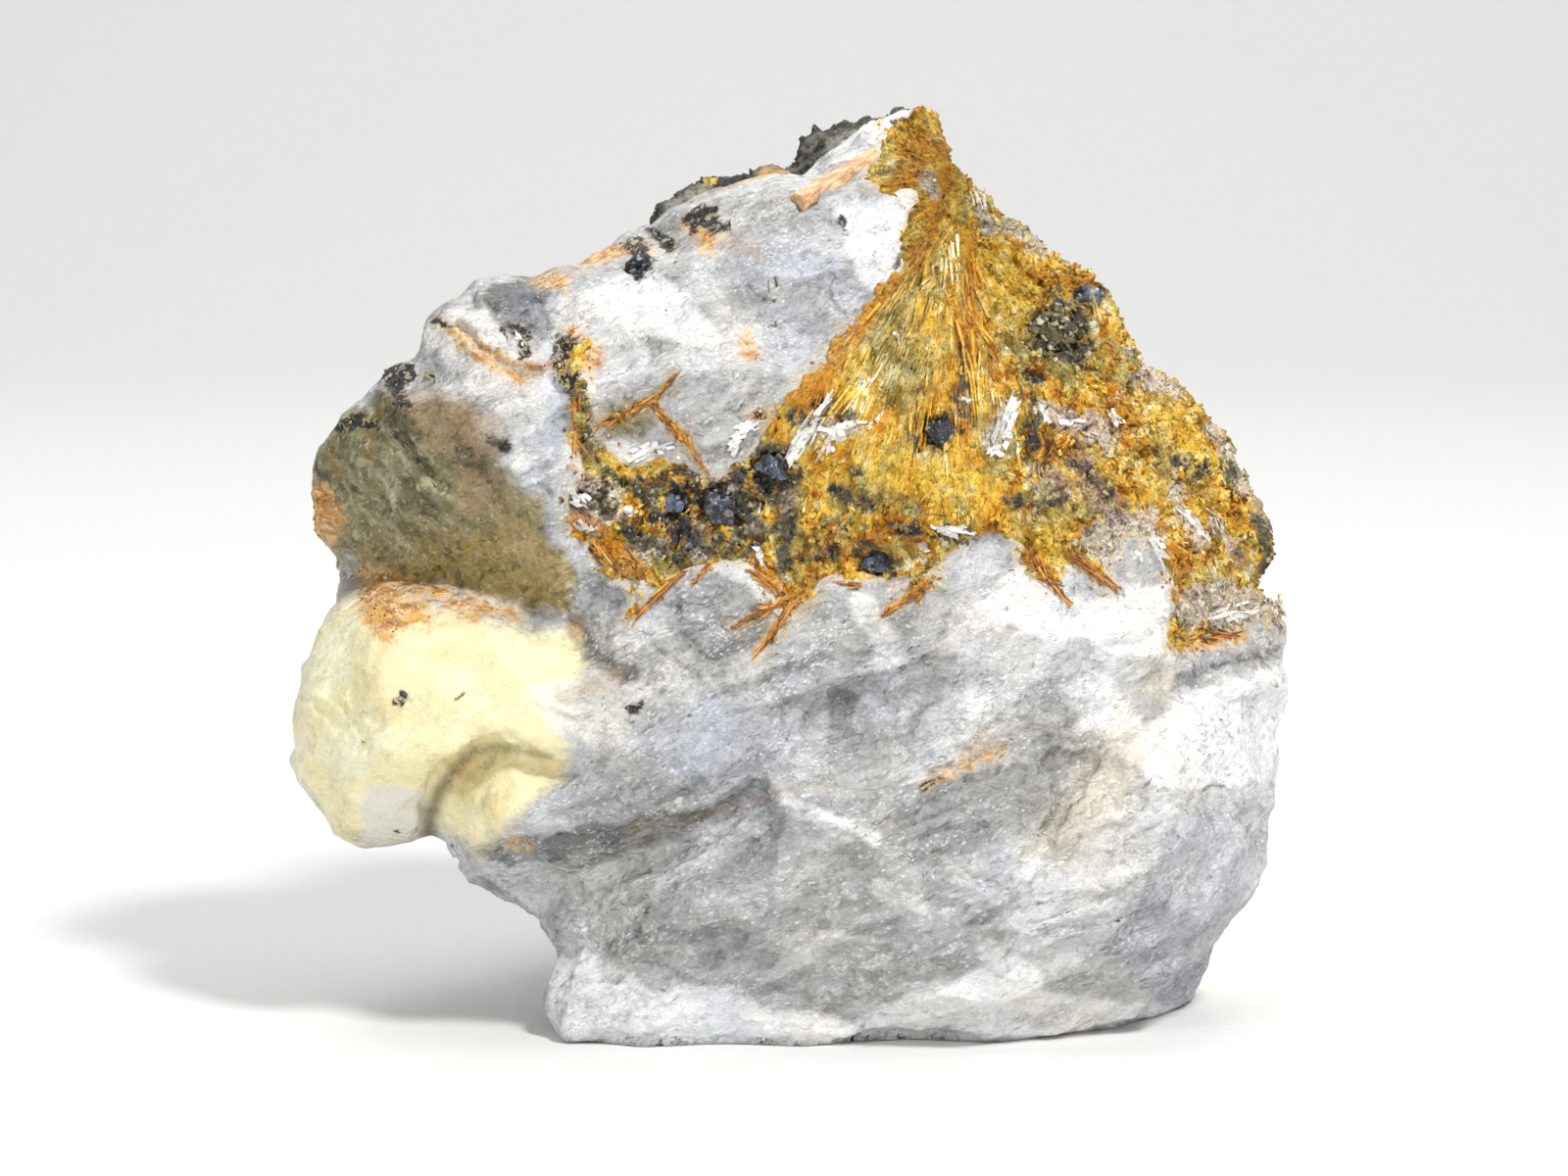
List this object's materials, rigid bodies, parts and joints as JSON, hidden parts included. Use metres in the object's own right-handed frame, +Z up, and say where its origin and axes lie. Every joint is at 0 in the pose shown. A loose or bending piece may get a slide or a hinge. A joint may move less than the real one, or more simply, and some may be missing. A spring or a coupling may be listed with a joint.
{
  "type": "ardennite specimen",
  "caption": "Hand specimen of bladed ardennite in broken white vein quartz, with hematite grains and dark wall rock, standing on a flat sawn base.",
  "frame": {"origin": "on the flat base, under the middle of the specimen's bounding box", "axes": "+X to the right seen from the front, along the specimen's longest side; +Y from the show face to the back; +Z up"},
  "size_m": [0.0893, 0.0486, 0.0802],
  "materials": {
    "quartz": "satin, translucent at the edges",
    "ardennite": "fibrous, satin to dull",
    "wall_rock": "matt",
    "pink_mineral": "satin",
    "hematite": "submetallic gloss"
  },
  "bodies": {
    "root": {"quartz_matrix": "quartz", "ardennite_mass": "ardennite", "wall_rock": "wall_rock", "pink_prism": "pink_mineral", "hematite_grain_1": "hematite", "hematite_grain_2": "hematite", "hematite_grain_3": "hematite", "hematite_grain_4": "hematite", "hematite_grain_5": "hematite", "hematite_grain_6": "hematite", "hematite_grain_7": "hematite", "hematite_grain_8": "hematite"}
  },
  "joints": []
}
